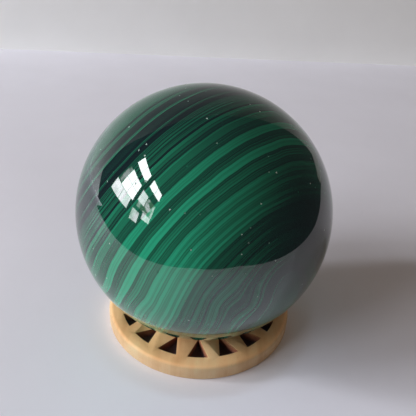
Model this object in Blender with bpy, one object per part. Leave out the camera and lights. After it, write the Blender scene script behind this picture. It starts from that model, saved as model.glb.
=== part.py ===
"""A polished malachite ball at rest on a low ring of carved wood.

Metres, +Z up. The origin is on the surface that the ring lies on, under the ball's centre.
The viewer's side is -Y. Angles round the ring run from -Y towards +X.
"""

import math

import bmesh
import bpy
from mathutils import Vector

# Ball
BALL_DIAMETER = 0.065
BALL_SEGMENTS = 72
BALL_RINGS = 36

# Ring blank, turned
RING_DIAMETER = 0.0515
RING_HEIGHT = 0.0040
BORE_DIAMETER = 0.0245
SEAT_WIDTH = 0.0015
SHOULDER_RADIUS = 0.0012
SHOULDER_STEPS = 5
FOOT_CHAMFER = 0.00025

# Air between the ball and its coned seat
REST_GAP = 0.0003

# Band of triangular pockets in the ring's top
RIM_WIDTH = 0.00355
INNER_LAND = 0.00135
POCKET_WIDTH = 0.0052
TOOTH_WIDTH = 0.0030
FLOOR_THICKNESS = 0.0010
PATTERN_TURN = math.radians(1.2)
STEPS_PER_PITCH = 6
ARC_STEPS = 4

# Slanting chip cut out of each tooth, beside a strip of level land
LAND_WIDTH = 0.0010
CHIP_END_WIDTH = 0.0003
CHIP_DROP = 0.0010

# How far a cutter stands above the face that it cuts
CUTTER_OVERSHOOT = 0.0010

# Sizes that follow
ball_radius = BALL_DIAMETER / 2
ring_radius = RING_DIAMETER / 2
bore_radius = BORE_DIAMETER / 2
seat_outer_radius = bore_radius + SEAT_WIDTH
contact_radius = bore_radius + SEAT_WIDTH / 2
seat_angle = math.asin(contact_radius / (ball_radius + REST_GAP))
seat_depth = SEAT_WIDTH * math.tan(seat_angle)
contact_height = RING_HEIGHT - seat_depth / 2
ball_height = contact_height + (ball_radius + REST_GAP) * math.cos(seat_angle)

apex_radius = seat_outer_radius + INNER_LAND
base_radius = ring_radius - RIM_WIDTH
pocket_count = round(2 * math.pi * base_radius / (POCKET_WIDTH + TOOTH_WIDTH))
pitch = 2 * math.pi / pocket_count
pocket_half_angle = POCKET_WIDTH / base_radius / 2


def ring_point(radius, angle, height):
    """A point round the ring, its angle counted from -Y towards +X."""
    return Vector((radius * math.sin(angle), -radius * math.cos(angle), height))


def pocket_angle(number):
    """The angle of one pocket's middle line."""
    return PATTERN_TURN + number * pitch


def new_material(name, color, roughness):
    material = bpy.data.materials.new(name)
    material.use_nodes = True
    shader = material.node_tree.nodes["Principled BSDF"]
    shader.inputs["Base Color"].default_value = (*color, 1.0)
    shader.inputs["Roughness"].default_value = roughness
    shader.inputs["Metallic"].default_value = 0.0
    return material


def new_object(name, form):
    """Makes an object of a bmesh, with its faces turned outwards."""
    bmesh.ops.recalc_face_normals(form, faces=form.faces)
    mesh = bpy.data.meshes.new(name)
    form.to_mesh(mesh)
    form.free()
    thing = bpy.data.objects.new(name, mesh)
    bpy.context.scene.collection.objects.link(thing)
    return thing


def as_cutter(thing):
    thing.hide_render = True
    thing.display_type = "WIRE"
    return thing


def cut(thing, cutter):
    """Takes the cutter's form out of the thing."""
    boolean = thing.modifiers.new(cutter.name, "BOOLEAN")
    boolean.operation = "DIFFERENCE"
    boolean.solver = "EXACT"
    boolean.object = as_cutter(cutter)


def ring_profile():
    """The turned outline of the blank, round the wood, as (radius, height) pairs."""
    shoulder = min(SHOULDER_RADIUS, RIM_WIDTH / 2, RING_HEIGHT / 2)
    outline = [
        (bore_radius, 0.0),
        (ring_radius - FOOT_CHAMFER, 0.0),
        (ring_radius, FOOT_CHAMFER),
    ]
    for step in range(SHOULDER_STEPS + 1):
        turn = math.pi / 2 * step / SHOULDER_STEPS
        outline.append(
            (
                ring_radius - shoulder * (1 - math.cos(turn)),
                RING_HEIGHT - shoulder * (1 - math.sin(turn)),
            )
        )
    outline.append((seat_outer_radius, RING_HEIGHT))
    outline.append((bore_radius, RING_HEIGHT - seat_depth))
    return outline


def ring_blank():
    """Spins the outline once round the Z axis."""
    form = bmesh.new()
    corners = [form.verts.new(ring_point(radius, 0.0, height)) for radius, height in ring_profile()]
    edges = [
        form.edges.new((corner, corners[(index + 1) % len(corners)]))
        for index, corner in enumerate(corners)
    ]
    bmesh.ops.spin(
        form,
        geom=corners + edges,
        cent=(0.0, 0.0, 0.0),
        axis=(0.0, 0.0, 1.0),
        dvec=(0.0, 0.0, 0.0),
        angle=2 * math.pi,
        steps=pocket_count * STEPS_PER_PITCH,
        use_merge=True,
        use_normal_flip=False,
        use_duplicate=False,
    )
    return new_object("ring_stand", form)


def add_prism(form, floor, top):
    """A closed prism between two like outlines, each a list of points."""
    low = [form.verts.new(point) for point in floor]
    high = [form.verts.new(point) for point in top]
    form.faces.new(list(reversed(low)))
    form.faces.new(high)
    for index in range(len(low)):
        after = (index + 1) % len(low)
        form.faces.new((low[index], low[after], high[after], high[index]))


def pocket_cutter():
    """One upright triangular prism for each pocket, its outer side on an arc."""
    form = bmesh.new()
    top = RING_HEIGHT + CUTTER_OVERSHOOT
    for number in range(pocket_count):
        middle = pocket_angle(number)
        corners = [(apex_radius, middle)]
        for step in range(ARC_STEPS + 1):
            share = 2 * step / ARC_STEPS - 1
            corners.append((base_radius, middle - share * pocket_half_angle))
        add_prism(
            form,
            [ring_point(radius, angle, FLOOR_THICKNESS) for radius, angle in corners],
            [ring_point(radius, angle, top) for radius, angle in corners],
        )
    return new_object("pocket_cutter", form)


def chip_cutter():
    """One wedge for each tooth. Its sloping floor hinges on the edge of the level land,
    runs almost to a point at the rim, and is deepest beside the next pocket's apex."""
    form = bmesh.new()
    top = RING_HEIGHT + CUTTER_OVERSHOOT
    for number in range(pocket_count):
        before = pocket_angle(number)
        after = pocket_angle(number + 1)
        corner_angle = after - pocket_half_angle
        hinge_in = ring_point(apex_radius, before + LAND_WIDTH / apex_radius, RING_HEIGHT)
        hinge_out = ring_point(base_radius, corner_angle - CHIP_END_WIDTH / base_radius, RING_HEIGHT)
        deepest = ring_point(apex_radius, after, RING_HEIGHT - CHIP_DROP)
        slope = (hinge_out - hinge_in).cross(deepest - hinge_in)
        inside_pocket = ring_point((apex_radius + base_radius) / 2, after, RING_HEIGHT)
        far_corner = ring_point(base_radius, corner_angle, RING_HEIGHT)
        floor = [hinge_in, hinge_out]
        for corner in (far_corner, inside_pocket, deepest):
            drop = slope.dot(corner - hinge_in) / slope.z
            floor.append(Vector((corner.x, corner.y, corner.z - drop)))
        add_prism(form, floor, [Vector((point.x, point.y, top)) for point in floor])
    return new_object("chip_cutter", form)


def make_ring_stand():
    ring = ring_blank()
    cut(ring, pocket_cutter())
    cut(ring, chip_cutter())
    ring.data.materials.append(new_material("turned_pale_wood", (0.62, 0.40, 0.20), 0.55))
    ring.data.set_sharp_from_angle(angle=math.radians(30))
    return ring


def make_sphere():
    form = bmesh.new()
    bmesh.ops.create_uvsphere(
        form, u_segments=BALL_SEGMENTS, v_segments=BALL_RINGS, radius=ball_radius
    )
    ball = new_object("malachite_sphere", form)
    ball.location = (0.0, 0.0, ball_height)
    ball.data.materials.append(new_material("polished_malachite", (0.01, 0.12, 0.07), 0.05))
    ball.data.shade_smooth()
    return ball


for thing in list(bpy.data.objects):
    bpy.data.objects.remove(thing)

make_ring_stand()
make_sphere()
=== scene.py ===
"""A polished malachite ball at rest on a low ring of carved wood."""

import math
import random

import bmesh
import bpy
from mathutils import Matrix, Quaternion, Vector


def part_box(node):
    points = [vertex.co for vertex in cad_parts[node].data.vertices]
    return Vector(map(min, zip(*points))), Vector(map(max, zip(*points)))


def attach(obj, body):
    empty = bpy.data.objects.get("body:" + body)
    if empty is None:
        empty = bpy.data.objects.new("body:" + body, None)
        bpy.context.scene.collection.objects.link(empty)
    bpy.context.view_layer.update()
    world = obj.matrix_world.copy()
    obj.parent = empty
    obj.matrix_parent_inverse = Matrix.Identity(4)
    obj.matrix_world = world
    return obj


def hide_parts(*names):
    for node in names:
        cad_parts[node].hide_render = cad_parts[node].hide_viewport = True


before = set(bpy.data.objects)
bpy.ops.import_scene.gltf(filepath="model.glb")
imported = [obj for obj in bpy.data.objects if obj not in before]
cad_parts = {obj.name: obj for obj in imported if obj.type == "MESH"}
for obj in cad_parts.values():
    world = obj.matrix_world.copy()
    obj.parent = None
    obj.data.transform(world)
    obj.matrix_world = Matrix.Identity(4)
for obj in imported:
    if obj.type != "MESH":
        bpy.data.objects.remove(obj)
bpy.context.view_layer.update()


# Ring stand
# A low ring of pale, close-grained wood, turned on a lathe. A row of triangular pockets is cut
# into its top, a slanting chip leads out of each one, and the pockets carry painted shade, darkest
# low down.
# It lies loose, and the ball sits on its coned inner edge.
MM = 0.001
RING_EDGE_BREAK = 0.10 * MM
RING_EDGE_STEPS = 2
RING_SHARP_ANGLE = math.radians(24)
RING_WELD = 0.002 * MM
RING_FLAT_ANGLE = math.radians(0.4)
RING_SMOOTH_ANGLE = math.radians(40)
POCKET_INNER = 15.0 * MM
POCKET_OUTER = 22.3 * MM
POCKET_FLOOR = 1.0 * MM
POCKET_WALL_LEAN = 0.2

WOOD_PALE = "#FFDFAA"
WOOD_MIDDLE = "#FCCB93"
WOOD_STREAK = "#E2A670"
# Painted shade: the tint that makes the side wall darker and greyer than the top.
WOOD_SIDE_SHADE = "#DAE5F0"
WOOD_PORE = "#8E6536"
WOOD_IOR = 1.5
WOOD_ROUGHNESS = 0.55

# How long the wood's figure is along X, Y and Z, in mm, and how strongly it is drawn.
FIBRE_SIZE = (0.4, 4, 6)
FIBRE_ON_TOP = 0.12
FIBRE_ON_SIDE = 0.34
YEAR_SIZE = (3.5, 30, 30)
PORE_SIZE = (0.16, 1.0, 0.5)
PORE_LOW, PORE_HIGH = 0.68, 0.8
PORE_STRENGTH = 0.4
WOOD_PATCH_SIZE = 7 * MM
WOOD_PATCH_STRENGTH = 0.8
WOOD_TONE_LOW, WOOD_TONE_HIGH = 0.45, 1.35
TOP_FACING, SIDE_FACING = 0.9, 0.5
SANDED_DEPTH = 0.03 * MM
SANDED_STRENGTH = 0.2

# Painted shade in the pockets, from the clean edge down to the deepest part.
POCKET_SHADE_EDGE = "#B98A62"
POCKET_SHADE_PALE = "#94624A"
POCKET_SHADE_BROWN = "#835342"
POCKET_SHADE_DARK = "#6C4A46"
POCKET_SHADE_DEEPEST = "#5E4C52"
POCKET_ROUGHNESS = 0.8
POCKET_SHADE_LIFT = 0.5 * MM
POCKET_SHADE_RAGGED = 1.2 * MM
POCKET_MOTTLE_SIZE = 0.8 * MM
POCKET_BUMP_DEPTH = 0.05 * MM
POCKET_BUMP_STRENGTH = 0.5


def linear(code):
    """A shader colour from an sRGB hex value."""
    parts = [int(code[place : place + 2], 16) / 255 for place in (1, 3, 5)]
    flat = [part / 12.92 if part <= 0.04045 else ((part + 0.055) / 1.055) ** 2.4 for part in parts]
    return (*flat, 1.0)


def add_node(tree, kind, sockets=None, stops=None, **settings):
    """Adds a node, with its settings, its links or values by socket, and a ramp's stops."""
    node = tree.nodes.new(kind)
    for name, value in settings.items():
        setattr(node, name, value)
    for name, value in (sockets or {}).items():
        if isinstance(value, bpy.types.NodeSocket):
            tree.links.new(value, node.inputs[name])
        else:
            node.inputs[name].default_value = value
    if stops:
        elements = node.color_ramp.elements
        while len(elements) < len(stops):
            elements.new(1.0)
        for element, (place, color) in zip(elements, stops):
            element.position = place
            element.color = color
    return node


def new_material(name):
    """An empty material, with its shader and its tree."""
    material = bpy.data.materials.new(name)
    material.use_nodes = True
    return material, material.node_tree, material.node_tree.nodes["Principled BSDF"]


def new_piece(name, form, *materials):
    """Makes an object of a bmesh, with its faces turned outwards."""
    bmesh.ops.recalc_face_normals(form, faces=form.faces)
    mesh = bpy.data.meshes.new(name)
    form.to_mesh(mesh)
    form.free()
    for material in materials:
        mesh.materials.append(material)
    piece = bpy.data.objects.new(name, mesh)
    bpy.context.scene.collection.objects.link(piece)
    return piece


def limewood():
    """Turned and sanded limewood: honey straw, with faint fibres along Y and yearly layers across
    X. They show as fine streaks on the side wall and hardly at all on the top. The side wall is
    also tinted darker and greyer as painted shade, since it gets less light than the top."""
    material, tree, shader = new_material("turned_limewood")
    place = add_node(tree, "ShaderNodeTexCoord").outputs["Object"]
    fibres, years, pores = (
        add_node(
            tree,
            "ShaderNodeMapping",
            {"Vector": place, "Scale": tuple(1 / (length * MM) for length in size)},
        ).outputs[0]
        for size in (FIBRE_SIZE, YEAR_SIZE, PORE_SIZE)
    )
    streaks = add_node(
        tree,
        "ShaderNodeTexNoise",
        {"Vector": fibres, "Scale": 1.0, "Detail": 3.0, "Roughness": 0.6},
    )
    layers = add_node(
        tree,
        "ShaderNodeTexNoise",
        {"Vector": years, "Scale": 1.0, "Detail": 2.0, "Roughness": 0.5},
    )
    patches = add_node(
        tree,
        "ShaderNodeTexNoise",
        {"Vector": place, "Scale": 1 / WOOD_PATCH_SIZE, "Detail": 3.0, "Roughness": 0.5},
    )
    normal = add_node(tree, "ShaderNodeNewGeometry").outputs["Normal"]
    facing = add_node(tree, "ShaderNodeSeparateXYZ", {0: normal}).outputs["Z"]
    on_side = add_node(tree, "ShaderNodeMapRange", {0: facing, 1: TOP_FACING, 2: SIDE_FACING})
    strength = add_node(
        tree, "ShaderNodeMapRange", {0: on_side.outputs[0], 3: FIBRE_ON_TOP, 4: FIBRE_ON_SIDE}
    )
    drawn = add_node(tree, "ShaderNodeMath", {0: streaks.outputs[0], 1: 0.5}, operation="SUBTRACT")
    grain = add_node(
        tree,
        "ShaderNodeMath",
        {0: drawn.outputs[0], 1: strength.outputs[0], 2: layers.outputs[0]},
        operation="MULTIPLY_ADD",
    )
    tone = add_node(
        tree,
        "ShaderNodeMath",
        {0: patches.outputs[0], 1: WOOD_PATCH_STRENGTH, 2: grain.outputs[0]},
        operation="MULTIPLY_ADD",
    )
    paleness = add_node(
        tree, "ShaderNodeMapRange", {0: tone.outputs[0], 1: WOOD_TONE_LOW, 2: WOOD_TONE_HIGH}
    )
    color = add_node(
        tree,
        "ShaderNodeValToRGB",
        {"Fac": paleness.outputs[0]},
        stops=[(0.0, linear(WOOD_STREAK)), (0.5, linear(WOOD_MIDDLE)), (1.0, linear(WOOD_PALE))],
    )
    pore_noise = add_node(
        tree, "ShaderNodeTexNoise", {"Vector": pores, "Scale": 1.0, "Detail": 1.0}
    )
    pore_mask = add_node(
        tree,
        "ShaderNodeMapRange",
        {0: pore_noise.outputs[0], 1: PORE_LOW, 2: PORE_HIGH, 3: 0.0, 4: PORE_STRENGTH},
    )
    pored = add_node(
        tree,
        "ShaderNodeMix",
        {"Factor": pore_mask.outputs[0], "A": color.outputs[0], "B": linear(WOOD_PORE)},
        data_type="RGBA",
    )
    # Painted shade: the side wall is tinted darker and greyer than the top, which gets more light.
    wood = add_node(
        tree,
        "ShaderNodeMix",
        {"Factor": on_side.outputs[0], "A": pored.outputs["Result"], "B": linear(WOOD_SIDE_SHADE)},
        data_type="RGBA",
        blend_type="MULTIPLY",
    )
    sanded = add_node(
        tree,
        "ShaderNodeBump",
        {"Height": streaks.outputs[0], "Strength": SANDED_STRENGTH, "Distance": SANDED_DEPTH},
    )
    tree.links.new(wood.outputs["Result"], shader.inputs["Base Color"])
    tree.links.new(sanded.outputs[0], shader.inputs["Normal"])
    shader.inputs["Roughness"].default_value = WOOD_ROUGHNESS
    shader.inputs["IOR"].default_value = WOOD_IOR
    return material


def pocket_shade_wood(top_height):
    """The same wood where it lines the pockets, coloured with painted shade: dark brown and matt
    low in the pocket, paler and ragged higher up, fading to the clean edge."""
    material, tree, shader = new_material("pocket_shade_wood")
    place = add_node(tree, "ShaderNodeTexCoord").outputs["Object"]
    height = add_node(tree, "ShaderNodeSeparateXYZ", {0: place}).outputs["Z"]
    pocket_mottle = add_node(
        tree,
        "ShaderNodeTexNoise",
        {"Vector": place, "Scale": 1 / POCKET_MOTTLE_SIZE, "Detail": 3.0, "Roughness": 0.6},
    )
    ragged = add_node(
        tree,
        "ShaderNodeMath",
        {0: pocket_mottle.outputs[0], 1: POCKET_SHADE_RAGGED, 2: height},
        operation="MULTIPLY_ADD",
    )
    depth = add_node(
        tree,
        "ShaderNodeMapRange",
        {0: ragged.outputs[0], 1: POCKET_FLOOR + POCKET_SHADE_LIFT, 2: top_height + POCKET_SHADE_LIFT},
    )
    color = add_node(
        tree,
        "ShaderNodeValToRGB",
        {"Fac": depth.outputs[0]},
        stops=[
            (0.08, linear(POCKET_SHADE_DEEPEST)),
            (0.25, linear(POCKET_SHADE_DARK)),
            (0.5, linear(POCKET_SHADE_BROWN)),
            (0.8, linear(POCKET_SHADE_PALE)),
            (1.0, linear(POCKET_SHADE_EDGE)),
        ],
    )
    pocket_bump = add_node(
        tree,
        "ShaderNodeBump",
        {"Height": pocket_mottle.outputs[0], "Strength": POCKET_BUMP_STRENGTH, "Distance": POCKET_BUMP_DEPTH},
    )
    tree.links.new(color.outputs[0], shader.inputs["Base Color"])
    tree.links.new(pocket_bump.outputs[0], shader.inputs["Normal"])
    shader.inputs["Roughness"].default_value = POCKET_ROUGHNESS
    shader.inputs["IOR"].default_value = WOOD_IOR
    return material


def carved_ring():
    """The CAD ring with its loose triangles joined into whole faces and its edges softened."""
    form = bmesh.new()
    form.from_mesh(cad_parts["ring_stand"].data)
    bmesh.ops.remove_doubles(form, verts=form.verts, dist=RING_WELD)
    bmesh.ops.dissolve_limit(
        form, angle_limit=RING_FLAT_ANGLE, verts=form.verts, edges=form.edges
    )
    form.normal_update()
    # The pocket walls and floors take the second material, whose colour is painted shade.
    for face in form.faces:
        deep = min(vert.co.z for vert in face.verts) < POCKET_FLOOR + RING_WELD
        inside = all(POCKET_INNER < vert.co.xy.length < POCKET_OUTER for vert in face.verts)
        wall = abs(face.normal.z) < POCKET_WALL_LEAN
        bottom = face.normal.z > 1 - POCKET_WALL_LEAN
        if deep and inside and (wall or bottom):
            face.material_index = 1
    sharp = [edge for edge in form.edges if edge.calc_face_angle(0.0) > RING_SHARP_ANGLE]
    bmesh.ops.bevel(
        form,
        geom=sharp,
        offset=RING_EDGE_BREAK,
        offset_type="OFFSET",
        affect="EDGES",
        segments=RING_EDGE_STEPS,
        profile=0.5,
        material=-1,
        clamp_overlap=True,
    )
    return form


_, ring_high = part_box("ring_stand")
ring = new_piece("carved_ring", carved_ring(), limewood(), pocket_shade_wood(ring_high.z))
ring.data.shade_smooth()
ring.data.set_sharp_from_angle(angle=RING_SMOOTH_ANGLE)
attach(ring, "root")
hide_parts("ring_stand")


# Malachite ball
# A ball of banded malachite, ground and polished to a mirror. The bands are flat layers of the
# stone that swell here and there, so they cross the whole ball and meet its face as long curves.
# It is held by nothing but its own weight.
BALL_DIVISIONS = 7
PIT_SEED = 34
PITS_OF_A_SIZE = 40
PIT_SIZES = (0.15, 0.2, 0.3, 0.45, 0.65)
PIT_REACH = 0.14 * MM
PIT_WALL_PARTS = 3
PIT_DEPTH = 0.05 * MM
PIT_FILL = "#D6E4DC"
PIT_FILL_ROUGHNESS = 0.9
PIT_FILL_GRAIN = 2 * MM
PIT_FILL_LOW, PIT_FILL_HIGH = 0.42, 0.62

# The direction across the layers, and places where they swell: centre, spread and rise in mm.
LAYER_NORMAL = (-0.448, 0.786, 0.427)
SWELLS = (
    ((-9.5, -29.0, -10.7), 12.3, 4.9),
    ((19.8, -2.4, 25.6), 17.6, -4.8),
    ((-24.8, -15.1, 14.9), 20.8, 8.0),
    ((18.5, -27.0, 4.0), 6.5, -3.0),
    ((4.6, -32.0, -3.0), 3.0, -0.8),
    ((10.8, -30.4, -3.6), 2.8, 1.0),
    ((-21.5, -23.6, -6.3), 4.5, 0.9),
    ((-14.6, -27.3, -9.9), 4.6, -0.9),
)
RIPPLE_LENGTH = 6.0
RIPPLE_RISE = 0.36

# Places where the stone is made darker or paler: centre and spread in mm, and the share of
# the tone that is lost or won there. The great dark one on the right, away from the lamps, is
# painted shade, and the pale one low on the left, towards them, is painted light.
TONE_CLOUDS_AND_PAINTED_LIGHT = (
    ((23.0, -20.0, 8.0), 12.0, -0.82),
    ((17.8, -17.2, 20.8), 6.5, -0.21),
    ((6.5, -10.2, 30.3), 4.8, -0.31),
    ((-1.5, -15.4, 28.6), 4.0, -0.22),
    ((-29.0, -12.0, -10.0), 14.0, 0.12),
    ((-6.0, -31.4, 2.0), 7.0, 0.20),
)

# The layers from the back of the ball to its lower front: thickness in mm, and how pale each is,
# from black-green at 0 to the brightest green at 1.
LAYER_TOP = 36.78
LAYER_BLUR = 0.10
LAYERS = (
    (1.6, 0.30), (0.5, 0.62), (1.9, 0.12), (0.8, 0.45), (1.2, 0.30), (0.4, 0.70), (1.4, 0.20),
    (1.0, 0.50), (2.2, 0.38), (2.2, 0.42), (0.5, 0.30), (2.3, 0.38), (2.0, 0.40), (1.0, 0.12),
    (1.1, 0.44), (2.35, 0.03), (0.7, 0.52), (1.5, 0.04), (0.5, 0.14), (1.15, 0.02), (0.7, 0.30),
    (1.45, 0.0), (0.65, 0.27), (0.9, 0.32), (0.8, 0.33), (0.6, 0.38), (0.45, 0.24), (0.4, 0.33),
    (0.6, 0.40), (0.65, 0.08), (0.85, 0.58), (0.8, 0.45), (0.35, 0.22), (0.35, 0.38), (0.45, 0.16),
    (0.85, 0.60), (0.45, 0.52), (0.6, 0.55), (1.0, 0.34), (0.3, 0.42), (0.8, 0.34), (1.9, 0.80),
    (1.0, 0.34), (0.4, 0.46), (0.4, 0.37), (0.45, 0.55), (0.25, 0.30), (0.5, 1.0), (0.65, 0.87),
    (0.5, 0.96), (0.6, 0.32), (0.5, 0.52), (0.35, 0.66), (0.2, 0.48), (0.4, 0.74), (0.5, 0.38),
    (0.3, 0.50), (0.5, 0.45), (0.4, 0.80), (0.5, 0.97), (0.3, 0.66), (0.5, 0.80), (0.7, 0.64),
    (0.7, 0.88), (1.3, 0.70), (0.55, 0.93), (0.55, 0.63), (0.45, 0.96), (0.85, 0.68), (0.6, 0.34),
    (0.4, 0.46), (1.1, 0.38), (0.4, 0.28), (0.5, 0.60), (0.8, 0.44), (1.1, 0.34), (0.5, 0.58),
    (0.5, 0.46), (0.45, 0.68), (0.9, 0.34), (0.3, 0.62), (1.1, 0.30), (0.5, 0.52), (0.35, 0.74),
    (0.4, 0.38), (0.35, 0.70), (1.2, 0.28), (0.3, 0.62), (1.3, 0.38), (0.5, 0.68), (2.0, 0.40),
    (0.6, 0.66), (3.0, 0.4),
)
RAMP_STOPS = 30

# Hair-fine lines within the layers: their spacing in mm, the tone they add or take, and the
# share of it that is left in the brightest layers.
LINE_SPACING = 0.42
LINE_STRENGTH = 0.17
LINES_IN_BRIGHT = 0.55
BRIGHT_LOW, BRIGHT_HIGH = 0.7, 0.95
NOISE_LOW, NOISE_HIGH = 0.3, 0.7

MALACHITE_DEEP = "#101B21"
MALACHITE_DARK = "#133930"
MALACHITE_MIDDLE = "#1B654B"
MALACHITE_PALE = "#238A67"
MALACHITE_BRIGHT = "#2BA57D"
MALACHITE_IOR = 1.85
MALACHITE_ROUGHNESS = 0.03

ball_low, ball_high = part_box("malachite_sphere")
ball_centre = (ball_low + ball_high) / 2
ball_radius = (ball_high.z - ball_low.z) / 2


def layer_tone(tree, depth):
    """The tone of the layer at each depth, from ramps that each hold a run of the layers."""
    edges = []
    height = LAYER_TOP
    for thickness, tone in LAYERS:
        blur = min(LAYER_BLUR, thickness / 3)
        edges.append((height - blur / 2, tone))
        height -= thickness
        edges.append((height + blur / 2, tone))
    joined = None
    for first in range(0, len(edges), RAMP_STOPS):
        run = edges[first : first + RAMP_STOPS + 1]
        top, bottom = run[0][0], run[-1][0]
        share = add_node(tree, "ShaderNodeMapRange", {0: depth, 1: bottom, 2: top})
        stops = [
            ((place - bottom) / (top - bottom), (value, value, value, 1.0))
            for place, value in reversed(run)
        ]
        ramp = add_node(tree, "ShaderNodeValToRGB", {"Fac": share.outputs[0]}, stops=stops)
        if joined is None:
            joined = ramp.outputs[0]
            continue
        below = add_node(tree, "ShaderNodeMath", {0: depth, 1: top}, operation="LESS_THAN")
        mix = {"Factor": below.outputs[0], "A": joined, "B": ramp.outputs[0]}
        joined = add_node(tree, "ShaderNodeMix", mix, data_type="RGBA").outputs["Result"]
    return joined


def add_bulges(tree, place, value, bulges):
    """Adds to a value a soft round bulge about each centre, with its spread and its height."""
    for centre, spread, height in bulges:
        away = add_node(tree, "ShaderNodeVectorMath", {0: place, 1: centre}, operation="DISTANCE")
        share = add_node(
            tree,
            "ShaderNodeMath",
            {0: away.outputs["Value"], 1: spread * math.sqrt(2)},
            operation="DIVIDE",
        ).outputs[0]
        square = add_node(
            tree, "ShaderNodeMath", {0: share, 1: share}, operation="MULTIPLY"
        ).outputs[0]
        fall = add_node(
            tree, "ShaderNodeMath", {0: math.exp(-1), 1: square}, operation="POWER"
        ).outputs[0]
        value = add_node(
            tree, "ShaderNodeMath", {0: fall, 1: height, 2: value}, operation="MULTIPLY_ADD"
        ).outputs[0]
    return value


def polished_malachite():
    """Polished malachite: opaque copper carbonate, laid down in layers from black-green to bright
    green, each made of hair-fine lines. A high index gives the glass-like polish its mirror."""
    material, tree, shader = new_material("polished_malachite")
    place = add_node(tree, "ShaderNodeTexCoord").outputs["Object"]
    in_stone = add_node(
        tree,
        "ShaderNodeMapping",
        {"Vector": place, "Location": -ball_centre / MM, "Scale": (1 / MM, 1 / MM, 1 / MM)},
    ).outputs[0]
    depth = add_node(
        tree, "ShaderNodeVectorMath", {0: in_stone, 1: LAYER_NORMAL}, operation="DOT_PRODUCT"
    ).outputs["Value"]
    depth = add_bulges(tree, in_stone, depth, SWELLS)
    ripple = add_node(
        tree,
        "ShaderNodeTexNoise",
        {"Vector": in_stone, "Scale": 1 / RIPPLE_LENGTH, "Detail": 1.0, "Roughness": 0.5},
    )
    rippled = add_node(
        tree,
        "ShaderNodeMath",
        {0: ripple.outputs[0], 1: RIPPLE_RISE, 2: depth},
        operation="MULTIPLY_ADD",
    )
    depth = add_node(
        tree, "ShaderNodeMath", {0: rippled.outputs[0], 1: RIPPLE_RISE / 2}, operation="SUBTRACT"
    ).outputs[0]
    tone = layer_tone(tree, depth)
    lines = add_node(
        tree,
        "ShaderNodeTexNoise",
        {"W": depth, "Scale": 1 / LINE_SPACING, "Detail": 2.0, "Roughness": 0.75},
        noise_dimensions="1D",
    )
    fine = add_node(
        tree,
        "ShaderNodeMapRange",
        {0: lines.outputs[0], 1: NOISE_LOW, 2: NOISE_HIGH, 3: -LINE_STRENGTH, 4: LINE_STRENGTH},
    )
    show = add_node(
        tree,
        "ShaderNodeMapRange",
        {0: tone, 1: BRIGHT_LOW, 2: BRIGHT_HIGH, 3: 1.0, 4: LINES_IN_BRIGHT},
    )
    lined = add_node(
        tree,
        "ShaderNodeMath",
        {0: fine.outputs[0], 1: show.outputs[0], 2: tone},
        operation="MULTIPLY_ADD",
    )
    # Darker and paler places in the stone's tone, partly painted shade and painted light.
    clouds_and_light_share = add_bulges(tree, in_stone, 1.0, TONE_CLOUDS_AND_PAINTED_LIGHT)
    clouded_and_lit = add_node(
        tree,
        "ShaderNodeMath",
        {0: lined.outputs[0], 1: clouds_and_light_share},
        operation="MULTIPLY",
        use_clamp=True,
    )
    color = add_node(
        tree,
        "ShaderNodeValToRGB",
        {"Fac": clouded_and_lit.outputs[0]},
        stops=[
            (0.0, linear(MALACHITE_DEEP)),
            (0.22, linear(MALACHITE_DARK)),
            (0.5, linear(MALACHITE_MIDDLE)),
            (0.78, linear(MALACHITE_PALE)),
            (1.0, linear(MALACHITE_BRIGHT)),
        ],
    )
    tree.links.new(color.outputs[0], shader.inputs["Base Color"])
    shader.inputs["Roughness"].default_value = MALACHITE_ROUGHNESS
    shader.inputs["IOR"].default_value = MALACHITE_IOR
    return material


def pale_pit_fill():
    """Pale green-white and matt in the pits, mottled with the stone's middle green."""
    material, tree, shader = new_material("pale_pit_fill")
    place = add_node(tree, "ShaderNodeTexCoord").outputs["Object"]
    grains = add_node(
        tree, "ShaderNodeTexNoise", {"Vector": place, "Scale": 1 / PIT_FILL_GRAIN, "Detail": 2.0}
    )
    color = add_node(
        tree,
        "ShaderNodeValToRGB",
        {"Fac": grains.outputs[0]},
        stops=[(PIT_FILL_LOW, linear(MALACHITE_MIDDLE)), (PIT_FILL_HIGH, linear(PIT_FILL))],
    )
    tree.links.new(color.outputs[0], shader.inputs["Base Color"])
    shader.inputs["Roughness"].default_value = PIT_FILL_ROUGHNESS
    return material


def polished_ball():
    """A dense ball, with tiny pits where grains broke out under the polishing wheel. Each size is
    a share of the greatest reach and depth, and a pit's sloping wall takes a third of its reach."""
    form = bmesh.new()
    bmesh.ops.create_icosphere(
        form,
        subdivisions=BALL_DIVISIONS,
        radius=ball_radius,
        matrix=Matrix.Translation(ball_centre),
    )
    draw = random.Random(PIT_SEED)
    for size in PIT_SIZES:
        whole = [face for face in form.faces if not face.material_index]
        pits = draw.sample(whole, PITS_OF_A_SIZE)
        bmesh.ops.inset_individual(
            form, faces=pits, thickness=PIT_REACH * (1 - size), depth=0.0
        )
        bmesh.ops.inset_individual(
            form,
            faces=pits,
            thickness=PIT_REACH * size / PIT_WALL_PARTS,
            depth=-PIT_DEPTH * size,
        )
        for face in pits:
            face.material_index = 1
    return form


ball = new_piece("malachite_ball", polished_ball(), polished_malachite(), pale_pit_fill())
ball.data.shade_smooth()
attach(ball, "root")
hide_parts("malachite_sphere")


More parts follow.
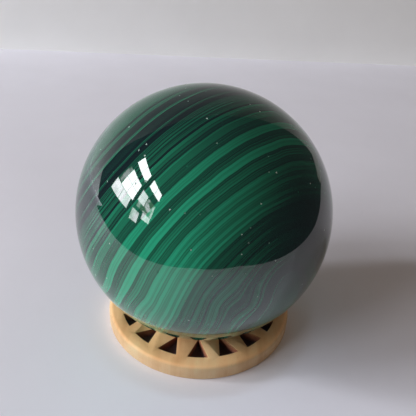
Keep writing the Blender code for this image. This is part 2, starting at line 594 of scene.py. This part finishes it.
# Floor and backdrop
# A pale, matt board whose corner points at the viewer, with a plain sheet standing close behind
# it. Both are stage: they carry the shadow, and the polished stone mirrors them. Outlines in mm.
BOARD_EDGE = (
    (-415, 54), (-290, -36), (-120, -105), (-20, -162), (80, -158), (145, -62), (205, 28),
    (417, 239),
)
BOARD_BACK = 340.0
BOARD_LEFT = -1100.0
BOARD_PAINT = "#EEEFF7"
FLOOR_HALF = 3000.0
FLOOR_DROP = 0.5
SHEET_BACK = 292.0
SHEET_EDGE = (
    (-1050, 0), (-1050, 25), (-810, 90), (-630, 140), (-590, 300), (-540, 560), (-400, 700),
    (-100, 690), (166, 549), (270, 300), (300, 60), (470, 40), (470, 0),
)
SHEET_TURN = math.radians(4)
SHEET_PAINT = "#F8FBFA"
PAINT_MOTTLE = 40 * MM
PAINT_MOTTLE_SHARE = 0.97
PAINT_ROUGHNESS = 0.85

# Heights in mm, each with the share of the paint's colour that is left there.
EVEN_SHADES = ((0, 1.0), (730, 1.0))
# Painted shade: the sheet darkens upwards from its foot, as if less light reached it higher up.
SHEET_PAINTED_SHADE = (
    (0, 1.0), (18, 0.93), (60, 0.88), (100, 0.77), (150, 0.59), (220, 0.42), (300, 0.31),
    (400, 0.22), (500, 0.17), (730, 0.10),
)


def pale_paint(name, code, shades):
    """Matt emulsion paint, faintly mottled by the roller, and dimmed with painted shade where its
    shades say so.
    """
    material, tree, shader = new_material(name)
    place = add_node(tree, "ShaderNodeTexCoord").outputs["Object"]
    mottle = add_node(
        tree, "ShaderNodeTexNoise", {"Vector": place, "Scale": 1 / PAINT_MOTTLE, "Detail": 3.0}
    )
    tint = linear(code)
    dull = tuple(PAINT_MOTTLE_SHARE * part for part in tint[:3]) + (1.0,)
    color = add_node(
        tree,
        "ShaderNodeValToRGB",
        {"Fac": mottle.outputs[0]},
        stops=[(NOISE_LOW, dull), (NOISE_HIGH, tint)],
    )
    height = add_node(tree, "ShaderNodeSeparateXYZ", {0: place}).outputs["Z"]
    top = shades[-1][0]
    share = add_node(tree, "ShaderNodeMapRange", {0: height, 1: 0.0, 2: top * MM})
    shade = add_node(
        tree,
        "ShaderNodeValToRGB",
        {"Fac": share.outputs[0]},
        stops=[(level / top, (value, value, value, 1.0)) for level, value in shades],
    )
    shaded = add_node(
        tree,
        "ShaderNodeMix",
        {"Factor": 1.0, "A": color.outputs[0], "B": shade.outputs[0]},
        data_type="RGBA",
        blend_type="MULTIPLY",
    )
    tree.links.new(shaded.outputs["Result"], shader.inputs["Base Color"])
    shader.inputs["Roughness"].default_value = PAINT_ROUGHNESS
    return material


def flat_stage(name, corners, material):
    """A flat sheet of the stage from its corners in mm."""
    form = bmesh.new()
    form.faces.new([form.verts.new(Vector(corner) * MM) for corner in corners])
    piece = new_piece(name, form, material)
    return piece


board_paint = pale_paint("board_paint", BOARD_PAINT, EVEN_SHADES)
board_corners = [(x, y, 0.0) for x, y in BOARD_EDGE]
board_corners.append((BOARD_EDGE[-1][0], BOARD_BACK, 0.0))
board_corners.append((BOARD_LEFT, BOARD_BACK, 0.0))
board_corners.append((BOARD_LEFT, BOARD_EDGE[0][1], 0.0))
flat_stage("board", board_corners, board_paint)

floor_corners = [
    (x * FLOOR_HALF, y * FLOOR_HALF, -FLOOR_DROP) for x, y in ((-1, -1), (1, -1), (1, 1), (-1, 1))
]
floor = flat_stage("floor", floor_corners, board_paint)
floor.visible_glossy = False
floor.visible_diffuse = False

sheet_corners = [(x, SHEET_BACK + x * math.tan(SHEET_TURN), z) for x, z in SHEET_EDGE]
flat_stage("backdrop", sheet_corners, pale_paint("sheet_paint", SHEET_PAINT, SHEET_PAINTED_SHADE))


# Light
# Tall daylight lamps far to the left light the ball and throw its shadow. The stone mirrors not
# the lamps but glowing screens at the same place, on a thin frame with dim patches; they light
# nothing and are seen only in the mirror.
# Weak spots over the board brighten it here and there.
LAMP_X = -1200.0
LAMP_TURN = math.radians(-90)
DAYLIGHT = "#F9F9FF"
CLOTH_BAR = "#8FA697"
CLOTH_PATCH = "#4A6A4E"
CLOTH_PATCH_SIZE = 190 * MM
CLOTH_PATCH_LOW, CLOTH_PATCH_HIGH = 0.45, 0.6
FRAME_SHARE = 0.028

# Name, ends along Y and along Z in mm, radiance of the lamp, brightness of the screen, its panels
# along Y and Z, and how far the patches dim it. A radiance or a brightness of 0 leaves it out.
LAMPS = (
    ("upper_near", -540, -10, 955, 1190, 12.0, 13.0, 2, 1, 0.0),
    ("middle_near", -510, -90, 475, 825, 11.5, 12.5, 2, 2, 0.0),
    ("edge_near", -90, 22, 490, 800, 0.0, 2.6, 1, 1, 1.3),
    ("lower_near", -455, 60, 285, 475, 7.0, 9.0, 2, 1, 0.3),
    ("upper_far", -1240, -690, 995, 1230, 12.0, 12.5, 2, 1, 0.1),
    ("middle_far", -1200, -605, 467, 815, 8.5, 0.0, 1, 1, 0.0),
    ("far_pale", -840, -605, 570, 815, 0.0, 7.5, 1, 2, 0.1),
    ("far_low", -840, -640, 467, 570, 0.0, 4.0, 1, 1, 1.3),
    ("far_dim", -1200, -840, 467, 800, 0.0, 4.5, 1, 2, 1.3),
    ("low_far", -800, -580, 190, 396, 0.0, 6.5, 1, 1, 0.5),
    ("low_end", -1170, -880, 327, 465, 0.0, 6.5, 1, 1, 0.3),
    ("low_left", -10, 60, 260, 477, 150.0, 0.0, 1, 1, 0.0),
)

# Place on the board along X and Y and reach, in mm, power in watts, and colour.
SPOTS = (
    (10, -84, 66, 5.0, "#CFE6FF"),
    (-145, -20, 78, 5.0, DAYLIGHT),
    (-240, -15, 98, 8.0, DAYLIGHT),
)
SPOT_HEIGHT = 600
SPOT_SIZE = 55 * MM


def mirror_only_glow(name, ends_y, ends_z, brightness, panels, dimming):
    """A glowing screen that lights nothing and is seen only in the stone's mirror. Its patches and
    the bars between its panels are dim.
    """
    material, tree, shader = new_material(name)
    place = add_node(tree, "ShaderNodeTexCoord").outputs["Object"]
    sides = add_node(tree, "ShaderNodeSeparateXYZ", {0: place}).outputs
    across = add_node(
        tree,
        "ShaderNodeMapRange",
        {0: sides["Y"], 1: ends_y[0] * MM, 2: ends_y[1] * MM, 4: panels[0]},
    )
    upward = add_node(
        tree,
        "ShaderNodeMapRange",
        {0: sides["Z"], 1: ends_z[0] * MM, 2: ends_z[1] * MM, 4: panels[1]},
    )
    flat = add_node(
        tree, "ShaderNodeCombineXYZ", {0: across.outputs[0], 1: upward.outputs[0]}
    )
    bars = add_node(
        tree,
        "ShaderNodeTexBrick",
        {
            "Vector": flat.outputs[0],
            "Color1": linear(DAYLIGHT),
            "Color2": linear(DAYLIGHT),
            "Mortar": linear(CLOTH_BAR),
            "Scale": 1.0,
            "Mortar Size": FRAME_SHARE,
            "Brick Width": 1.0,
            "Row Height": 1.0,
        },
        offset=0.0,
    )
    patches = add_node(
        tree,
        "ShaderNodeTexNoise",
        {"Vector": place, "Scale": 1 / CLOTH_PATCH_SIZE, "Detail": 1.5},
    )
    dim = add_node(
        tree,
        "ShaderNodeMapRange",
        {0: patches.outputs[0], 1: CLOTH_PATCH_LOW, 2: CLOTH_PATCH_HIGH, 4: dimming},
    )
    cloth = add_node(
        tree,
        "ShaderNodeMix",
        {"Factor": dim.outputs[0], "A": bars.outputs[0], "B": linear(CLOTH_PATCH)},
        data_type="RGBA",
    )
    tree.links.new(cloth.outputs["Result"], shader.inputs["Emission Color"])
    shader.inputs["Emission Strength"].default_value = brightness
    material.cycles.emission_sampling = "NONE"
    return material


for name, y_low, y_high, z_low, z_high, radiance, brightness, across, upward, dimming in LAMPS:
    width = (y_high - y_low) * MM
    height = (z_high - z_low) * MM
    if radiance:
        light = bpy.data.lights.new(name + "_lamp", "AREA")
        light.shape = "RECTANGLE"
        light.size = height
        light.size_y = width
        light.color = linear(DAYLIGHT)[:3]
        light.energy = radiance * math.pi * width * height
        lamp = bpy.data.objects.new(name + "_lamp", light)
        lamp.location = (LAMP_X * MM, (y_low + y_high) / 2 * MM, (z_low + z_high) / 2 * MM)
        lamp.rotation_euler = (0.0, LAMP_TURN, 0.0)
        lamp.visible_camera = False
        lamp.visible_glossy = False
        bpy.context.scene.collection.objects.link(lamp)
    if brightness:
        cloth = mirror_only_glow(
            name + "_cloth",
            (y_low, y_high),
            (z_low, z_high),
            brightness,
            (across, upward),
            dimming,
        )
        corners = ((y_low, z_low), (y_high, z_low), (y_high, z_high), (y_low, z_high))
        screen = flat_stage(name + "_screen", [(LAMP_X, y, z) for y, z in corners], cloth)
        screen.visible_camera = False
        screen.visible_diffuse = False
        screen.visible_shadow = False

for index, (x, y, reach, power, code) in enumerate(SPOTS):
    light = bpy.data.lights.new("spot_%d" % index, "SPOT")
    light.energy = power
    light.color = linear(code)[:3]
    light.spot_size = 2 * math.atan(reach / SPOT_HEIGHT)
    light.spot_blend = 1.0
    light.shadow_soft_size = SPOT_SIZE
    spot = bpy.data.objects.new("spot_%d" % index, light)
    spot.location = Vector((x, y, SPOT_HEIGHT)) * MM
    spot.visible_glossy = False
    bpy.context.scene.collection.objects.link(spot)

# The room's light on things, its mirror image in the stone, and the room as the camera sees it:
# the tint and the strength of each.
ROOM_TINT = "#FFE0C6"
ROOM_FILL = 0.155
MIRRORED_TINT = "#E4EEF6"
ROOM_MIRRORED = 0.055
SEEN_TINT = "#F4F2F0"
ROOM_SEEN = 0.75

world = bpy.data.worlds.new("room")
bpy.context.scene.world = world
world.use_nodes = True
background = world.node_tree.nodes["Background"]
path = add_node(world.node_tree, "ShaderNodeLightPath").outputs
room_tint = add_node(
    world.node_tree,
    "ShaderNodeMix",
    {"Factor": path["Is Glossy Ray"], "A": linear(ROOM_TINT), "B": linear(MIRRORED_TINT)},
    data_type="RGBA",
)
seen_tint = add_node(
    world.node_tree,
    "ShaderNodeMix",
    {"Factor": path["Is Camera Ray"], "A": room_tint.outputs["Result"], "B": linear(SEEN_TINT)},
    data_type="RGBA",
)
mirrored = add_node(
    world.node_tree,
    "ShaderNodeMapRange",
    {0: path["Is Glossy Ray"], 3: ROOM_FILL, 4: ROOM_MIRRORED},
)
room = add_node(
    world.node_tree,
    "ShaderNodeMapRange",
    {0: path["Is Camera Ray"], 3: mirrored.outputs[0], 4: ROOM_SEEN},
)
world.node_tree.links.new(seen_tint.outputs["Result"], background.inputs["Color"])
world.node_tree.links.new(room.outputs[0], background.inputs["Strength"])


# Camera
# Held a hand's breadth from the ball, looking down on it, and leaning a little.
CAMERA_DISTANCE = 130 * MM
CAMERA_ELEVATION = math.radians(31.3)
CAMERA_ROLL = math.radians(3.5)
CAMERA_NEAR = 5 * MM
LENS = 43.2
AIM_RIGHT = 0.96 * MM
AIM_UP = 0.86 * MM

camera = bpy.data.objects.new("camera", bpy.data.cameras.new("camera"))
bpy.context.scene.collection.objects.link(camera)
bpy.context.scene.camera = camera
camera.data.lens = LENS
camera.data.clip_start = CAMERA_NEAR
backwards = Vector((0.0, -math.cos(CAMERA_ELEVATION), math.sin(CAMERA_ELEVATION)))
lean = Quaternion((0.0, 0.0, 1.0), CAMERA_ROLL)
level = (-backwards).to_track_quat("-Z", "Y") @ lean
aim = ball_centre + level @ Vector((AIM_RIGHT, AIM_UP, 0.0))
camera.location = ball_centre + backwards * CAMERA_DISTANCE
camera.rotation_mode = "QUATERNION"
camera.rotation_quaternion = (aim - camera.location).to_track_quat("-Z", "Y") @ lean
bpy.context.scene.view_settings.view_transform = "Standard"
